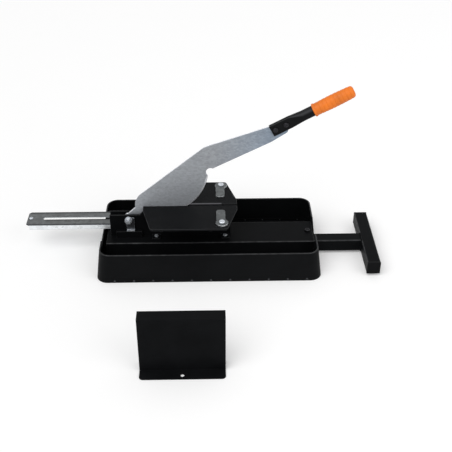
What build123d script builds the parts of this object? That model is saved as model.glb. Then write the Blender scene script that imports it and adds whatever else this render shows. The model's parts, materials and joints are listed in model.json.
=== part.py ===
from build123d import *
import os
from math import cos, radians, sin, tan

# Laminate flooring cutter, in millimetres, +Z up.
# The origin is on the floor, at the middle of the base's length. The blade swings in the plane Y = 0.

# General clearances
running_fit = 0.05     # radial, shafts and bolts in the holes they turn in
sliding_fit = 0.3      # between flat sliding faces of pieces that move apart
stop_gap = 0.3         # left between a moving piece and the stop it comes to rest on
overrun = 1            # how far a cut reaches past the face it starts from

# Base: a ring of walls that lean in towards the rim, and the pan that closes it
base_length = 588
base_depth = 290
base_offset = 7        # how far the base's middle lies behind the blade's plane
base_height = 80
base_corner = 30
wall_thickness = 4
wall_lean = 7          # degrees from upright
left_opening = (-60, 84)
right_opening = (-42, 42)
left_sill_height = 58
right_sill_height = 6.5
pan_thickness = 2
pan_edge_height = 8
pan_edge_thickness = 3

# Rivets along the foot of the front and back walls
rivet_count = 11
rivet_pitch = 50
rivet_shift = 4.5
rivet_height = 5.2
rivet_radius = 1.6
rivet_head_radius = 2.5
rivet_tail_radius = 2
rivet_head_height = 1.1

# Beam: an inverted channel with foot flanges, along the middle of the base
beam_left_gap = 22
beam_right_gap = 14
beam_width = 96
beam_top = 62
beam_wall = 4
beam_flange = 18
beam_bolt_places = (-240, -80, 80, 240)

# Hexagon bolt sizes
large_bolt_radius = 4
large_head_width = 13
large_head_height = 5.3
small_bolt_radius = 3
small_head_width = 10
small_head_height = 4

# Blade channel: carries the pivot on the left and the table on the right
channel_start = -262
channel_end = 58
channel_width = 25
channel_wall = 5
channel_floor = 4
housing_top = 127.5
housing_end = -182
table_rise_end = -168
tab_places = (-140, 43)
tab_length = 22
tab_reach = 21
tab_thickness = 4
ledge_start = -246
ledge_end = -178
ledge_height = 20
ledge_depth = 10

# Table: two plates with tapered ends and a slit between them
table_top = 150
table_thickness = 5
table_half_depth = 115
table_left = -172
table_right = 75
shoulder_left = -148
shoulder_right = 48
tip_half_width = 24
table_corner = 9
slit_front = 4.5

# Counter blade: a bar on edge inside the back wall of the channel
counter_start = -164
counter_end = 34
counter_height = 25
counter_gap = 0.4
counter_screw_places = (-140, -60, 20)
counter_screw_radius = 2.5
counter_screw_head = 4.5
counter_screw_grip = 3.5

# Gussets under the outer parts of the table
gusset_places = (-120, 5)
gusset_thickness = 5
gusset_reach = 108
gusset_root = 92
gusset_tip = 7

# Stop plates, each on one bolt
stop_thickness = 5
stop_bolt_x = 34
stop_bolt_y = 91.5
stop_lobe_radius = 16
stop_edge = 20
stop_tab_right = 43
stop_tab_end = 33
stop_tab_corner = 7
stop_head_radius = 8
stop_head_height = 4.5

# Blade pivot
pivot_x = -212
pivot_z = 114.5
pivot_radius = 5
pivot_head_radius = 9
pivot_head_depth = 3.5
pivot_nut_width = 17
pivot_nut_height = 8
pivot_washer_radius = 10
pivot_washer_thickness = 2
pivot_thread_end = 2
spacer_radius = 9
bush_radius = 7
bush_stand_out = 0.2
strap_width = 21
strap_shift = 4.5
strap_thickness = 2.5
strap_top = 6
strap_lip = 10

# Blade, measured from the pivot in the pose of rest
blade_thickness = 4
boss_radius = 12
heel = (0, 12)
neck = (19, 30.5)
nose_side = (23.4, 56.5)
nose_top = (41.6, 76.8)
back_corner = (203, 208.4)
back_radius = 50
arm_top_end = (414, 281)
arm_low_end = (414, 249.5)
arm_low_bend = (372, 221.3)
arm_low_start = (224, 146)
notch = (206.8, 137)
tip = (211.6, 126.5)
belly = (191, 69.5)
edge_bend = (148.5, 27.6)
edge_low = (95, -0.5)
edge_heel = (30, -10.5)
sole = (0, -12)
arm_top_radius = 6
arm_low_radius = 12
closing_angle = 27.5   # degrees from rest down to the end of the cut

# Buffer under the arm
buffer_radius = 8
buffer_x = 46
buffer_bolt_radius = 3

# Handle: a tube whose flattened end is slit and bolted over the arm
handle_start = (160, 366)
handle_angle = 28.5
tube_diameter = 26.9
tube_bore = 22.3
flat_height = 31.4
flat_thickness = 11
flat_corner = 2.5
flat_length = 52
slit_length = 57
round_start = 86
tube_end = 217
handle_bolt_places = (10.5, 40)
handle_bolt_head = 6.5
handle_bolt_head_height = 3.5
handle_nut_height = 6.5
grip_start = 116
grip_end = 225
grip_bore_end = 219
grip_radius = 15.5
grip_swell = 1.2
grip_flange_radius = 17
grip_flange_length = 6

# Rail: a slotted channel that slides on a guide behind the blade channel
rail_left = -493
rail_right = -185
rail_front = 14
rail_width = 64
rail_top = 82
rail_height = 15
rail_wall = 2.5
rail_corner = 9
slot_left_inset = 43
slot_right_inset = 30
slot_width = 10
rail_hole_inset = 10
rail_screw_radius = 3
rail_screw_head = 5.2
rail_screw_head_height = 2.6
rail_screw_length = 9
guide_start = -262
guide_end = -206
guide_screw_places = (-252, -216)
guide_screw_y = 27
guide_screw_depth = 12
clamp_x = -236
clamp_foot = 66
clamp_top = 95
clamp_washer_radius = 9
clamp_washer_thickness = 1.6
clamp_nut_height = 6.5

# T-shaped foot: square tubes
tube_size = 35
tube_wall = 2.5
foot_bottom = 7
stem_inner_end = 140
crossbar_x = 412.5
crossbar_length = 242
cap_thickness = 4
cap_plug = 12
cap_fit = 0.2
pad_length = 30
pad_width = 24
pad_place = 91
guide_thickness = 24
inner_guide_start = 150
outer_guide_inset = 2
pin_radius = 3
pin_length = 44

# Free-standing folded stand, as high as the table
stand_center = -62
stand_width = 196
stand_face = -465
stand_depth = 32
stand_sheet = 2.5
stand_foot = 29
stand_foot_corner = 9
stand_hole_radius = 4.5
stand_hole_inset = 11.5

# Places that follow from the sizes above
beam_floor = pan_thickness
beam_start = beam_left_gap - base_length / 2
beam_end = base_length / 2 - beam_right_gap
outer_guide_end = beam_end - outer_guide_inset
lock_screw_x = outer_guide_end - guide_thickness / 2
slot_left = rail_left + slot_left_inset
slot_right = rail_right - slot_right_inset
channel_inner = channel_width / 2 - channel_wall
channel_outer = channel_width / 2
channel_bottom = beam_top + channel_floor
plate_bottom = table_top - table_thickness
half_blade = blade_thickness / 2
rail_back = rail_front + rail_width
rail_middle = rail_front + rail_width / 2
strap_face = channel_outer + strap_thickness
nut_face = strap_face + pivot_washer_thickness
foot_top = foot_bottom + tube_size

os.makedirs("parts", exist_ok=True)


def save(shape, name):
    """Write one piece, or one group of like pieces, to its own file."""
    export_step(shape, f"parts/{name}.step")


def block(x_range, y_range, z_range):
    """A box given by its limits along X, Y and Z."""
    ranges = (x_range, y_range, z_range)
    sizes = [max(pair) - min(pair) for pair in ranges]
    middles = [sum(pair) / 2 for pair in ranges]
    return Pos(*middles) * Box(*sizes)


def rod(radius, bottom, top):
    """An upright cylinder on the Z axis."""
    return Pos(0, 0, (bottom + top) / 2) * Cylinder(radius, top - bottom)


def hexagon(width, bottom, top):
    """An upright hexagonal prism on the Z axis, given by its width across flats."""
    outline = RegularPolygon(width / 2, 6, major_radius=False)
    return Pos(0, 0, bottom) * extrude(outline, top - bottom)


def ring(outer, inner, bottom, top):
    """An upright ring on the Z axis."""
    return rod(outer, bottom, top) - rod(inner, bottom, top)


def hex_bolt(radius, width, head_height, length):
    """A bolt on the Z axis with its head standing on Z = 0 and its shank hanging below."""
    return hexagon(width, 0, head_height) + rod(radius, -length, 0)


def along_y(x, y, z):
    """A place whose local Z axis points along -Y."""
    return Pos(x, y, z) * Rot(90, 0, 0)


def mirrored(shape):
    """The same shape on the other side of the blade's plane."""
    return mirror(shape, about=Plane.XZ)


def leaning_block(inset, bottom, top):
    """A block with the base's rounded outline and leaning sides, set in by the inset."""
    sections = []
    for height in (bottom, top):
        shrink = 2 * (inset + height * tan(radians(wall_lean)))
        outline = RectangleRounded(base_length - shrink, base_depth - shrink, base_corner - inset)
        sections.append(Pos(0, base_offset, height) * outline)
    return loft(sections, ruled=True)


def rivet_seats():
    """Places on the outside of the front and back walls, with local Z pointing out."""
    surface = base_depth / 2 - rivet_height * tan(radians(wall_lean))
    first = rivet_shift - rivet_pitch * (rivet_count - 1) / 2
    seats = []
    for side in (-1, 1):
        for index in range(rivet_count):
            tilt = Rot(-side * (90 - wall_lean), 0, 0)
            place = (first + index * rivet_pitch, base_offset + side * surface, rivet_height)
            seats.append(Pos(*place) * tilt)
    return seats


def build_base():
    """The ring of walls, the pan inside its foot and the rivets that join them."""
    pan_inset = wall_thickness + sliding_fit
    stack = (pan_inset + pan_edge_thickness) * cos(radians(wall_lean))
    holes = [seat * rod(rivet_radius + running_fit, -2 * stack, stack) for seat in rivet_seats()]
    walls = leaning_block(0, 0, base_height) - leaning_block(wall_thickness, 0, base_height)
    end = base_length / 2
    opening_top = base_height + wall_thickness
    walls -= block((-end - overrun, -end / 2), left_opening, (left_sill_height, opening_top))
    walls -= block((end / 2, end + overrun), right_opening, (right_sill_height, opening_top))
    save(walls - holes, "base_wall")
    pan = leaning_block(pan_inset, 0, pan_edge_height)
    pan -= leaning_block(pan_inset + pan_edge_thickness, pan_thickness, pan_edge_height)
    pan -= block((end / 2, end + overrun), right_opening, (pan_thickness, opening_top))
    bolt_hole = rod(large_bolt_radius + running_fit, -overrun, pan_thickness + overrun)
    pan -= [place * bolt_hole for place in beam_bolt_seats()]
    save(pan - holes, "floor_pan")
    rivet = rod(rivet_head_radius, 0, rivet_head_height)
    rivet += rod(rivet_radius, -stack, 0)
    rivet += rod(rivet_tail_radius, -stack - rivet_head_height, -stack)
    save(Compound(children=[seat * rivet for seat in rivet_seats()]), "pan_rivets")


def beam_bolt_seats():
    """Places of the bolts in the beam's two foot flanges."""
    reach = beam_width / 2 + beam_flange / 2
    return [Pos(x, side * reach, 0) for side in (-1, 1) for x in beam_bolt_places]


def frame_bolt_seats():
    """Places of the bolts in the blade channel's four foot tabs, on the tabs' top faces."""
    reach = channel_outer + tab_reach / 2
    seat_height = beam_top + tab_thickness
    return [Pos(x, side * reach, seat_height) for side in (-1, 1) for x in tab_places]


def build_beam():
    """The beam and the bolts that hold it to the pan."""
    half = beam_width / 2
    length = (beam_start, beam_end)
    beam = block(length, (-half, half), (beam_floor, beam_top))
    beam -= block(length, (beam_wall - half, half - beam_wall), (beam_floor, beam_top - beam_wall))
    flange_top = beam_floor + beam_wall
    for side in (-1, 1):
        beam += block(length, (side * half, side * (half + beam_flange)), (beam_floor, flange_top))
    foot_hole = rod(large_bolt_radius + running_fit, beam_floor - overrun, flange_top + overrun)
    beam -= [seat * foot_hole for seat in beam_bolt_seats()]
    top_hole = rod(small_bolt_radius + running_fit, -2 * beam_wall - tab_thickness, overrun)
    beam -= [seat * top_hole for seat in frame_bolt_seats()]
    guide_hole = rod(small_bolt_radius + running_fit, beam_top - 2 * beam_wall, beam_top + overrun)
    beam -= [Pos(x, guide_screw_y, 0) * guide_hole for x in guide_screw_places]
    lock_hole = rod(large_bolt_radius + running_fit, beam_top - 2 * beam_wall, beam_top + overrun)
    beam -= Pos(lock_screw_x, 0, 0) * lock_hole
    save(beam, "main_beam")
    thread_end = 0.3
    bolt = hex_bolt(large_bolt_radius, large_head_width, large_head_height, flange_top - thread_end)
    bolts = [seat * Pos(0, 0, flange_top) * bolt for seat in beam_bolt_seats()]
    save(Compound(children=bolts), "beam_bolts")


def pivot_head(clearance):
    """The pivot bolt's sunk head, flush with the back of the channel, in the bolt's own frame."""
    cone = Cone(pivot_head_radius + clearance, pivot_radius + clearance, pivot_head_depth)
    return Pos(0, 0, pivot_head_depth / 2 - channel_outer) * cone


def build_channel():
    """The blade channel with its foot tabs, the ledge under the strap and the frame bolts."""
    length = (channel_start, channel_end)
    reach = (-channel_outer, channel_outer)
    channel = block(length, reach, (beam_top, plate_bottom))
    channel -= block(length, (-channel_inner, channel_inner), (channel_bottom, plate_bottom))
    step = Polyline(
        (channel_start, housing_top),
        (housing_end, housing_top),
        (table_rise_end, plate_bottom),
        (channel_start, plate_bottom),
        close=True,
    )
    channel -= extrude(Plane.XZ * make_face(step), channel_width, both=True)
    for side in (-1, 1):
        for x in tab_places:
            tab_x = (x - tab_length / 2, x + tab_length / 2)
            tab_y = (side * channel_outer, side * (channel_outer + tab_reach))
            channel += block(tab_x, tab_y, (beam_top, beam_top + tab_thickness))
    tab_hole = rod(small_bolt_radius + running_fit, -2 * tab_thickness, overrun)
    channel -= [seat * tab_hole for seat in frame_bolt_seats()]
    pivot_hole = rod(pivot_radius + running_fit, -channel_width, channel_width)
    channel -= along_y(pivot_x, 0, pivot_z) * (pivot_hole + pivot_head(running_fit))
    buffer_hole = rod(buffer_bolt_radius + running_fit, -channel_width, channel_width)
    channel -= along_y(buffer_x, 0, buffer_z()) * buffer_hole
    for x in counter_screw_places:
        hole = rod(counter_screw_radius + running_fit, -channel_wall - overrun, channel_wall + overrun)
        channel -= along_y(x, channel_outer, counter_screw_z()) * hole
    save(channel, "blade_channel")
    ledge_y = (-channel_outer - ledge_depth, -channel_outer)
    save(block((ledge_start, ledge_end), ledge_y, (beam_top, beam_top + ledge_height)), "channel_ledge")
    grip_length = tab_thickness + beam_wall
    bolt = hex_bolt(small_bolt_radius, small_head_width, small_head_height, grip_length)
    nut = hexagon(small_head_width, -grip_length - small_head_height, -grip_length)
    save(Compound(children=[seat * (bolt + nut) for seat in frame_bolt_seats()]), "frame_bolts")


def counter_screw_z():
    """Height of the screws that hold the counter blade."""
    return table_top - counter_height / 2 - table_thickness / 2


def table_outline(inner_edge):
    """One table plate seen from above, on the +Y side of the slit, with rounded outer corners."""
    outline = make_face(Polyline(
        (table_left, inner_edge),
        (table_right, inner_edge),
        (table_right, tip_half_width),
        (shoulder_right, table_half_depth),
        (shoulder_left, table_half_depth),
        (table_left, tip_half_width),
        close=True,
    ))
    outer_corners = [v for v in outline.vertices() if v.Y > tip_half_width - 1]
    return fillet(outer_corners, table_corner)


def build_table():
    """The two table plates and the gussets, all welded to the channel, and the counter blade."""
    slit_back = half_blade + counter_gap
    counter_x = (counter_start, counter_end)
    sides = {"front": (-1, slit_front), "back": (1, slit_back)}
    for name, (side, inner_edge) in sides.items():
        plate = Pos(0, 0, plate_bottom) * extrude(table_outline(inner_edge), table_thickness)
        plate -= Pos(stop_bolt_x, stop_bolt_y, 0) * rod(large_bolt_radius + running_fit, 0, 2 * table_top)
        if side > 0:
            plate -= block(counter_x, (slit_back, channel_inner), (plate_bottom, table_top))
        save(plate if side > 0 else mirrored(plate), f"{name}_table")
        for end_name, x in zip(("left", "right"), gusset_places):
            profile = Polyline(
                (channel_outer, gusset_root),
                (channel_outer, plate_bottom),
                (gusset_reach, plate_bottom),
                (gusset_reach, plate_bottom - gusset_tip),
                close=True,
            )
            gusset = extrude(Plane.YZ.offset(x) * make_face(profile), gusset_thickness / 2, both=True)
            save(gusset if side > 0 else mirrored(gusset), f"{name}_gusset_{end_name}")
    counter = block(counter_x, (slit_back, channel_inner), (table_top - counter_height, table_top))
    seats = [along_y(x, channel_outer, counter_screw_z()) for x in counter_screw_places]
    depth = channel_wall + counter_screw_grip
    counter -= [seat * rod(counter_screw_radius + running_fit, 0, depth + stop_gap) for seat in seats]
    save(counter, "counter_blade")
    screw = rod(counter_screw_head, -counter_screw_grip, 0) + rod(counter_screw_radius, 0, depth)
    save(Compound(children=[seat * screw for seat in seats]), "counter_screws")


def build_stops():
    """The two swivelling stop plates with their bolts and nuts."""
    lobe = Pos(stop_bolt_x, stop_bolt_y) * Circle(stop_lobe_radius)
    tab_size = (stop_tab_right - stop_edge, stop_bolt_y - stop_tab_end)
    tab_middle = ((stop_tab_right + stop_edge) / 2, (stop_bolt_y + stop_tab_end) / 2)
    tab = Pos(*tab_middle) * Rectangle(*tab_size)
    tab = fillet([v for v in tab.vertices() if v.Y < stop_tab_end + 1], stop_tab_corner)
    plate = Pos(0, 0, table_top) * extrude(lobe + tab, stop_thickness)
    bolt_hole = rod(large_bolt_radius + running_fit, -overrun, stop_thickness + overrun)
    plate -= Pos(stop_bolt_x, stop_bolt_y, table_top) * bolt_hole
    save(plate, "back_stop")
    save(mirrored(plate), "front_stop")
    seat = table_top + stop_thickness
    grip_length = stop_thickness + table_thickness
    head = rod(stop_head_radius, 0, stop_head_height)
    head = fillet(head.edges().group_by(Axis.Z)[-1], stop_head_height - 1)
    bolt = head + rod(large_bolt_radius, -grip_length - large_head_height, 0)
    nut = hexagon(large_head_width, -grip_length - large_head_height, -grip_length)
    nut -= rod(large_bolt_radius + running_fit, -grip_length - 2 * large_head_height, 0)
    places = [Pos(stop_bolt_x, side * stop_bolt_y, seat) for side in (-1, 1)]
    save(Compound(children=[place * bolt for place in places]), "stop_bolts")
    save(Compound(children=[place * nut for place in places]), "stop_nuts")


def from_pivot(point):
    """A point of the blade's outline in the part's X and Z."""
    return (pivot_x + point[0], pivot_z + point[1])


def closed_point(point):
    """Where a point of the blade's outline lies at the end of the cut."""
    turn = radians(closing_angle)
    x = point[0] * cos(turn) + point[1] * sin(turn)
    z = point[1] * cos(turn) - point[0] * sin(turn)
    return from_pivot((x, z))


def buffer_z():
    """Height of the buffer that the arm's lower edge comes to rest on."""
    start_x, start_z = closed_point(arm_low_start)
    end_x, end_z = closed_point(arm_low_bend)
    slope = (end_z - start_z) / (end_x - start_x)
    edge_z = start_z + slope * (buffer_x - start_x)
    return edge_z - (buffer_radius + stop_gap) * (1 + slope * slope) ** 0.5


def handle_point(distance, offset=0.0):
    """A point along the handle's axis, and beside it, in the part's X and Z."""
    turn = radians(handle_angle)
    x = handle_start[0] + distance * cos(turn) - offset * sin(turn)
    z = handle_start[1] + distance * sin(turn) + offset * cos(turn)
    return x, z


def handle_bolt_seats():
    """Places of the handle's bolts on the front face of the flattened end."""
    seats = []
    for distance in handle_bolt_places:
        x, z = handle_point(distance)
        seats.append(along_y(x, -flat_thickness / 2, z))
    return seats


def build_blade():
    """The blade with its arm, and the bush in its eye."""
    points = {
        "heel": heel, "neck": neck, "nose_side": nose_side, "nose_top": nose_top,
        "back_corner": back_corner, "arm_top_end": arm_top_end, "arm_low_end": arm_low_end,
        "arm_low_bend": arm_low_bend, "arm_low_start": arm_low_start, "notch": notch, "tip": tip, "belly": belly,
        "edge_bend": edge_bend, "edge_low": edge_low, "edge_heel": edge_heel, "sole": sole,
    }
    at = {name: from_pivot(point) for name, point in points.items()}
    edges = [
        Line(at["heel"], at["neck"]),
        ThreePointArc(at["neck"], at["nose_side"], at["nose_top"]),
        FilletPolyline(at["nose_top"], at["back_corner"], at["arm_top_end"], radius=back_radius),
        Line(at["arm_top_end"], at["arm_low_end"]),
        Polyline(at["arm_low_end"], at["arm_low_bend"], at["arm_low_start"]),
        ThreePointArc(at["arm_low_start"], at["notch"], at["tip"]),
        ThreePointArc(at["tip"], at["belly"], at["edge_bend"]),
        ThreePointArc(at["edge_bend"], at["edge_low"], at["edge_heel"]),
        Line(at["edge_heel"], at["sole"]),
        Line(at["sole"], at["heel"]),
    ]
    outline = make_face(Curve() + edges)
    for corner, radius in ((-1, arm_top_radius), (0, arm_low_radius)):
        end_corners = [v for v in outline.vertices() if v.X > at["arm_top_end"][0] - 1]
        outline = fillet(sorted(end_corners, key=lambda v: v.Y)[corner], radius)
    outline += Pos(pivot_x, pivot_z) * Circle(boss_radius)
    blade = extrude(Plane.XZ * outline, half_blade, both=True)
    eye = rod(bush_radius + running_fit / 2, -blade_thickness, blade_thickness)
    blade -= along_y(pivot_x, 0, pivot_z) * eye
    bolt_hole = rod(large_bolt_radius + running_fit, -2 * flat_thickness, overrun)
    blade -= [seat * bolt_hole for seat in handle_bolt_seats()]
    save(blade, "blade")
    half_bush = half_blade + bush_stand_out
    bush = ring(bush_radius, pivot_radius + running_fit, -half_bush, half_bush)
    save(along_y(pivot_x, 0, pivot_z) * bush, "pivot_bush")


def build_pivot():
    """The pivot bolt with its nut, washer and spacers, and the strap under the nut."""
    axis = along_y(pivot_x, 0, pivot_z)
    front_end = nut_face + pivot_nut_height + pivot_thread_end
    bolt = rod(pivot_radius, -channel_outer, front_end) + pivot_head(0)
    save(axis * bolt, "pivot_bolt")
    hole = pivot_radius + running_fit
    nut = hexagon(pivot_nut_width, nut_face, nut_face + pivot_nut_height)
    save(axis * (nut - rod(hole, 0, 2 * front_end)), "pivot_nut")
    save(axis * ring(pivot_washer_radius, hole, strap_face, nut_face), "pivot_washer")
    gap = half_blade + sliding_fit
    spacers = [ring(spacer_radius, hole, gap, channel_inner), ring(spacer_radius, hole, -channel_inner, -gap)]
    save(Compound(children=[axis * spacer for spacer in spacers]), "pivot_spacers")
    ledge_top = beam_top + ledge_height
    strap_middle = pivot_x + strap_shift
    strap_x = (strap_middle - strap_width / 2, strap_middle + strap_width / 2)
    strap = block(strap_x, (-strap_face, -channel_outer), (ledge_top, pivot_z + strap_top))
    lip_y = (-channel_outer - strap_lip, -channel_outer)
    strap += block(strap_x, lip_y, (ledge_top, ledge_top + strap_thickness))
    save(strap - axis * rod(hole, 0, 2 * front_end), "pivot_strap")


def build_buffer():
    """The rubber buffer that stops the arm, on a bolt through the channel's walls."""
    axis = along_y(buffer_x, 0, buffer_z())
    half = channel_inner - sliding_fit
    sleeve = ring(buffer_radius, buffer_bolt_radius + running_fit, -half, half)
    save(axis * sleeve, "lower_buffer")
    nut_end = channel_outer + small_head_height
    bolt = rod(buffer_bolt_radius, -nut_end, channel_outer)
    bolt += hexagon(small_head_width, channel_outer, nut_end)
    save(axis * bolt, "buffer_bolt")
    nut = hexagon(small_head_width, -nut_end, -channel_outer)
    save(axis * (nut - rod(buffer_bolt_radius + running_fit, -2 * nut_end, 0)), "buffer_nut")


def flat_section(height, thickness, corner):
    """A section of the flattened tube: straight sides with rounded corners."""
    return RectangleRounded(thickness, height, corner)


def build_handle():
    """The handle's tube, its bolts and nuts, and the grip."""
    start_x, start_z = handle_start
    frame = Plane(
        origin=(start_x, 0, start_z),
        x_dir=(0, -1, 0),
        z_dir=(cos(radians(handle_angle)), 0, sin(radians(handle_angle))),
    )
    flat = flat_section(flat_height, flat_thickness, flat_corner)
    nearly_round = flat_section(tube_diameter, tube_diameter, tube_diameter / 2 - 0.1)
    tube = frame * extrude(flat, flat_length)
    tube += loft([frame * Pos(0, 0, flat_length) * flat, frame * Pos(0, 0, round_start) * nearly_round])
    tube += frame * rod(tube_diameter / 2, round_start, tube_end)
    tube -= frame * rod(tube_bore / 2, round_start, tube_end + overrun)
    tube -= frame * block((-half_blade, half_blade), (-flat_height, flat_height), (-overrun, slit_length))
    bolt_hole = rod(large_bolt_radius + running_fit, -2 * flat_thickness, overrun)
    tube -= [seat * bolt_hole for seat in handle_bolt_seats()]
    save(tube, "handle_tube")
    head = rod(handle_bolt_head, 0, handle_bolt_head_height)
    head = fillet(head.edges().group_by(Axis.Z)[-1], handle_bolt_head_height - 1)
    nut_end = -flat_thickness - handle_nut_height
    bolt = head + rod(large_bolt_radius, nut_end, 0)
    nut = hexagon(large_head_width, nut_end, -flat_thickness)
    nut -= bolt_hole
    save(Compound(children=[seat * bolt for seat in handle_bolt_seats()]), "handle_bolts")
    save(Compound(children=[seat * nut for seat in handle_bolt_seats()]), "handle_nuts")
    bore = tube_diameter / 2 + running_fit
    flange_end = grip_start + grip_flange_length
    swell = (grip_radius + grip_swell, (flange_end + grip_end) / 2)
    end_corner = grip_radius / 2
    end_start = (grip_radius, grip_end - end_corner)
    end_flat = (grip_radius - end_corner, grip_end)
    half_profile = [
        Polyline((0, grip_bore_end), (bore, grip_bore_end), (bore, grip_start)),
        Line((bore, grip_start), (grip_flange_radius, grip_start)),
        Line((grip_flange_radius, grip_start), (grip_flange_radius, flange_end)),
        Line((grip_flange_radius, flange_end), (grip_radius, flange_end)),
        ThreePointArc((grip_radius, flange_end), swell, end_start),
        RadiusArc(end_start, end_flat, -end_corner),
        Polyline(end_flat, (0, grip_end), (0, grip_bore_end)),
    ]
    profile = make_face(Curve() + half_profile)
    grip = revolve(Plane.XZ * profile, axis=Axis.Z)
    save(frame * grip, "grip")


def build_rail():
    """The slotted rail with its end screw, and the guide and clamp that carry it."""
    length = rail_right - rail_left
    middle_x = (rail_left + rail_right) / 2
    web = Pos(middle_x, rail_middle) * Rectangle(length, rail_width)
    web = fillet([v for v in web.vertices() if v.X < middle_x], rail_corner)
    slot_middle = Pos((slot_left + slot_right) / 2, rail_middle)
    web -= slot_middle * SlotOverall(slot_right - slot_left, slot_width)
    screw_x = rail_left + rail_hole_inset
    web -= Pos(screw_x, rail_middle) * Circle(rail_screw_radius + running_fit)
    rail = Pos(0, 0, rail_top - rail_wall) * extrude(web, rail_wall)
    flange_x = (rail_left + rail_corner, rail_right)
    flange_z = (rail_top - rail_height, rail_top)
    for outer, inner in ((rail_front, rail_front + rail_wall), (rail_back, rail_back - rail_wall)):
        rail += block(flange_x, (outer, inner), flange_z)
    save(rail, "rail")
    head = rod(rail_screw_head, 0, rail_screw_head_height)
    head = fillet(head.edges().group_by(Axis.Z)[-1], rail_screw_head_height / 2)
    screw = head + rod(rail_screw_radius, -rail_screw_length, 0)
    save(Pos(screw_x, rail_middle, rail_top) * screw, "rail_end_screw")
    guide_y = (rail_front + rail_wall + sliding_fit, rail_back - rail_wall - sliding_fit)
    guide_top = rail_top - rail_wall - sliding_fit
    guide = block((guide_start, guide_end), guide_y, (beam_top, guide_top))
    guide -= Pos(clamp_x, rail_middle, 0) * rod(large_bolt_radius + running_fit, clamp_foot, rail_top)
    hole_end = beam_top + guide_screw_depth + stop_gap
    screw_hole = rod(small_bolt_radius + running_fit, beam_top - overrun, hole_end)
    guide -= [Pos(x, guide_screw_y, 0) * screw_hole for x in guide_screw_places]
    save(guide, "rail_guide")
    under = beam_top - beam_wall
    screw = hexagon(small_head_width, under - small_head_height, under)
    screw += rod(small_bolt_radius, under, beam_top + guide_screw_depth)
    save(Compound(children=[Pos(x, guide_screw_y, 0) * screw for x in guide_screw_places]), "guide_screws")
    clamp = Pos(clamp_x, rail_middle, 0)
    hole = large_bolt_radius + running_fit
    save(clamp * rod(large_bolt_radius, clamp_foot, clamp_top), "clamp_stud")
    washer_top = rail_top + clamp_washer_thickness
    save(clamp * ring(clamp_washer_radius, hole, rail_top, washer_top), "clamp_washer")
    nut = hexagon(large_head_width, washer_top, washer_top + clamp_nut_height)
    save(clamp * (nut - rod(hole, 0, 2 * washer_top)), "clamp_nut")


def square_tube(x_range, y_range, z_range, open_axis):
    """A square tube that is open along the named axis."""
    tube = block(x_range, y_range, z_range)
    ranges = {"X": x_range, "Y": y_range, "Z": z_range}
    hollow = {}
    for axis, (low, high) in ranges.items():
        hollow[axis] = (low, high) if axis == open_axis else (low + tube_wall, high - tube_wall)
    return tube - block(hollow["X"], hollow["Y"], hollow["Z"])


def build_foot():
    """The T-shaped foot, its guides and lock screw in the beam, and the pin that keeps it there."""
    half = tube_size / 2
    height = (foot_bottom, foot_top)
    middle_z = foot_bottom + half
    pin_x = inner_guide_start - pin_radius - stop_gap
    pin_axis = along_y(pin_x, 0, middle_z)
    stem = square_tube((stem_inner_end, crossbar_x), (-half, half), height, "X")
    stem -= pin_axis * rod(pin_radius + running_fit, -tube_size, tube_size)
    save(stem, "foot_stem")
    save(pin_axis * rod(pin_radius, -pin_length / 2, pin_length / 2), "stem_stop_pin")
    bar_half = crossbar_length / 2 - cap_thickness
    bar_x = (crossbar_x, crossbar_x + tube_size)
    save(square_tube(bar_x, (-bar_half, bar_half), height, "Y"), "foot_crossbar")
    inset = tube_wall + cap_fit
    plug_x = (bar_x[0] + inset, bar_x[1] - inset)
    plug_z = (foot_bottom + inset, foot_top - inset)
    cap = block(bar_x, (bar_half, bar_half + cap_thickness), height)
    cap += block(plug_x, (bar_half - cap_plug, bar_half), plug_z)
    save(Compound(children=[cap, mirrored(cap)]), "crossbar_caps")
    pad_x = crossbar_x + tube_size / 2
    pad = block((pad_x - pad_width / 2, pad_x + pad_width / 2),
                (pad_place - pad_length / 2, pad_place + pad_length / 2), (0, foot_bottom))
    save(Compound(children=[pad, mirrored(pad)]), "foot_pads")
    guide_half = beam_width / 2 - beam_wall
    window = (-half - sliding_fit, half + sliding_fit)
    window_z = (foot_bottom - sliding_fit, foot_top + sliding_fit)
    lock_axis = Pos(lock_screw_x, 0, 0)
    lock_hole = lock_axis * rod(large_bolt_radius + running_fit, foot_top, beam_top)
    starts = {"inner": inner_guide_start, "outer": outer_guide_end - guide_thickness}
    for name, start in starts.items():
        span = (start, start + guide_thickness)
        guide = block(span, (-guide_half, guide_half), (pan_thickness, beam_top - beam_wall))
        guide -= block(span, window, window_z)
        save(guide - lock_hole, f"{name}_stem_guide")
    lock_length = beam_top - foot_top - sliding_fit
    screw = hex_bolt(large_bolt_radius, large_head_width, large_head_height, lock_length)
    save(lock_axis * Pos(0, 0, beam_top) * screw, "stem_lock_screw")


def build_stand():
    """The free-standing folded stand, as high as the table."""
    left = stand_center - stand_width / 2
    right = stand_center + stand_width / 2
    back = stand_face + stand_depth
    height = (0, table_top)
    stand = block((left, right), (stand_face, back), height)
    hollow_x = (left + stand_sheet, right - stand_sheet)
    stand -= block(hollow_x, (stand_face + stand_sheet, back), (0, table_top - stand_sheet))
    foot = Pos(stand_center, stand_face - stand_foot / 2) * Rectangle(stand_width, stand_foot)
    foot = fillet([v for v in foot.vertices() if v.Y < stand_face - 1], stand_foot_corner)
    foot -= Pos(stand_center, stand_face - stand_foot + stand_hole_inset) * Circle(stand_hole_radius)
    stand += extrude(foot, stand_sheet)
    save(stand, "support_stand")


build_base()
build_beam()
build_channel()
build_table()
build_stops()
build_blade()
build_pivot()
build_buffer()
build_handle()
build_rail()
build_foot()
build_stand()
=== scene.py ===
import json
from functools import partial, wraps
from math import cos, pi, radians, sin

import bmesh
import bpy
from bpy.props import FloatProperty, FloatVectorProperty, PointerProperty
from mathutils import Matrix, Vector

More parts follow.
